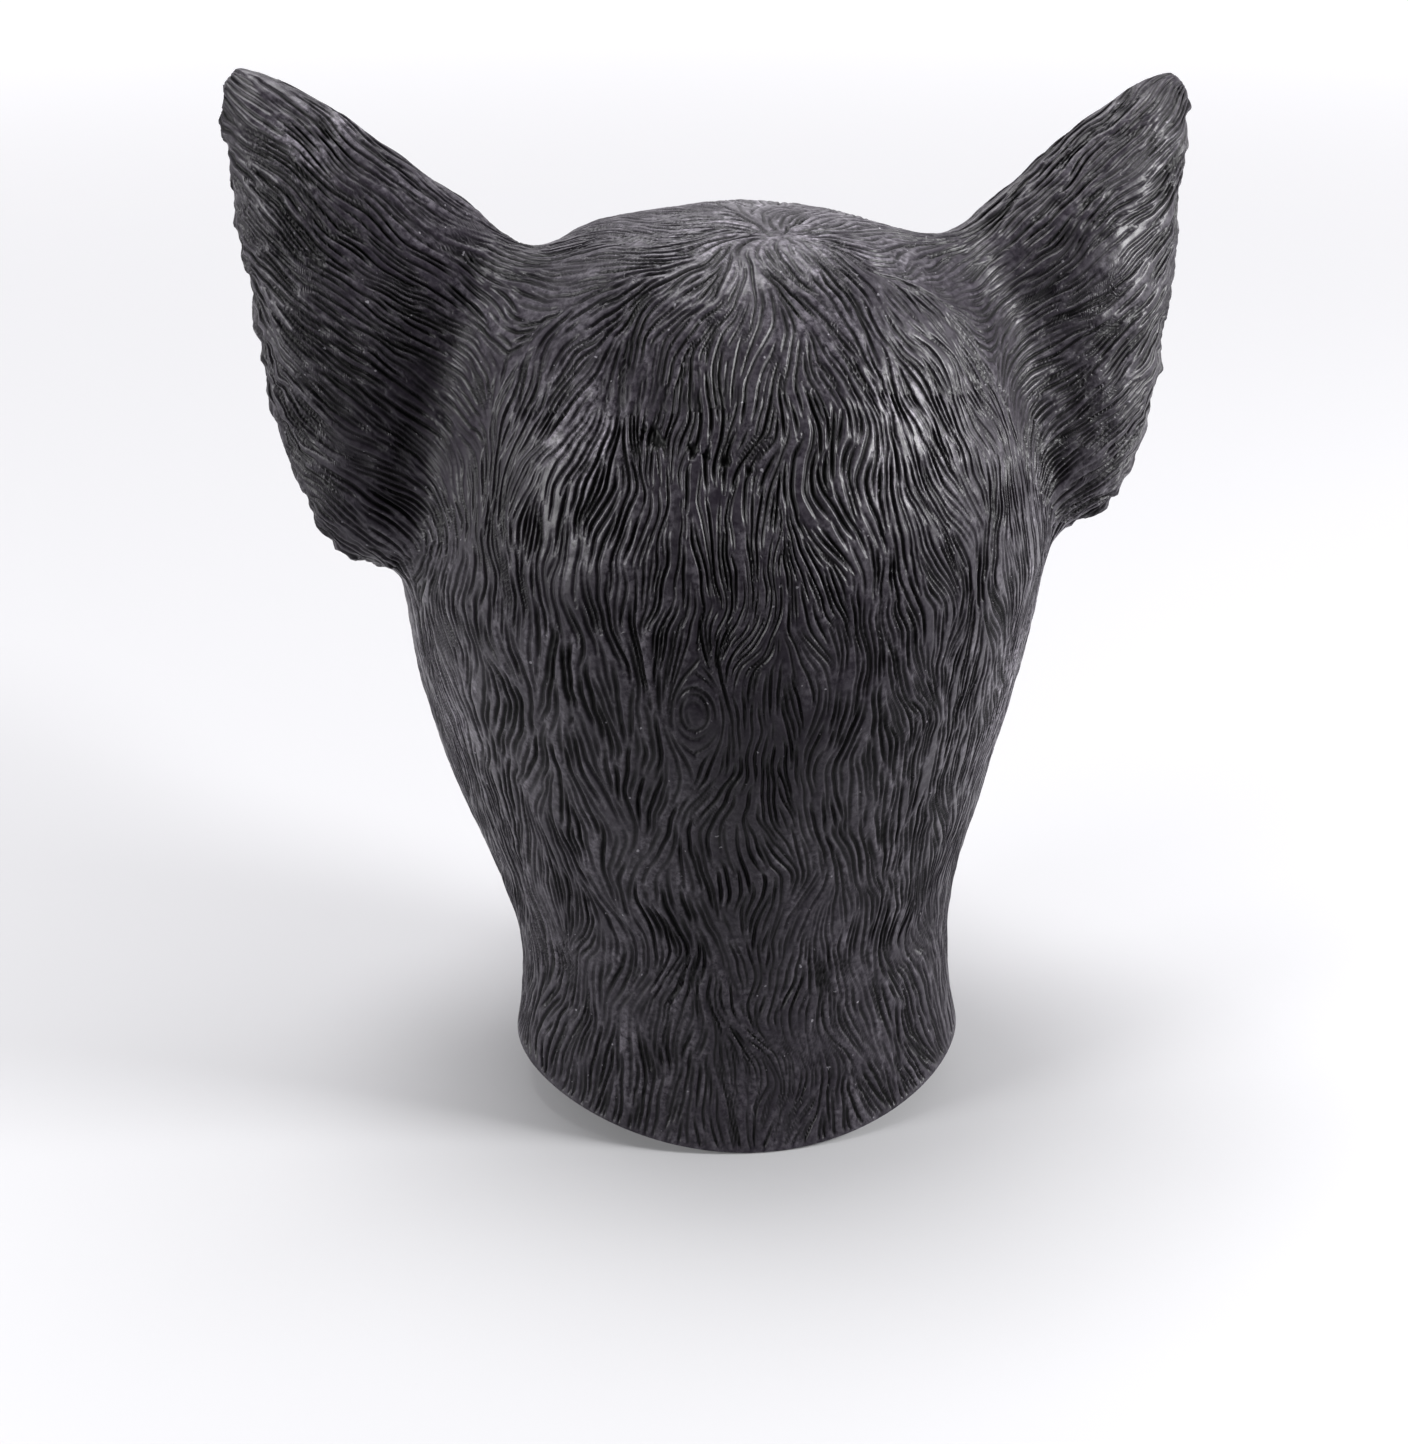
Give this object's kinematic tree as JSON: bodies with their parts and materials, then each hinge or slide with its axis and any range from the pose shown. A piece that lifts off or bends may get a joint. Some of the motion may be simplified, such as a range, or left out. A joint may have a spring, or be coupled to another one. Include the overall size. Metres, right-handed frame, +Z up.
{
  "type": "latex animal mask",
  "caption": "Pull-over full-head costume mask of a black pointed-eared dog-like animal, cast hollow in one latex skin with carved fur and an open neck.",
  "frame": {"origin": "inside of the crown, where the top of the wearer's head bears", "axes": "+Z up when worn, -Y out of the muzzle, +X to the wearer's left"},
  "size_m": [0.3626, 0.3364, 0.3904],
  "materials": {
    "black_latex": "black slush-cast latex with carved fur, satin, dry-brushed grey on the ridges"
  },
  "bodies": {
    "root": {"mask_skin": "black_latex"}
  },
  "joints": []
}
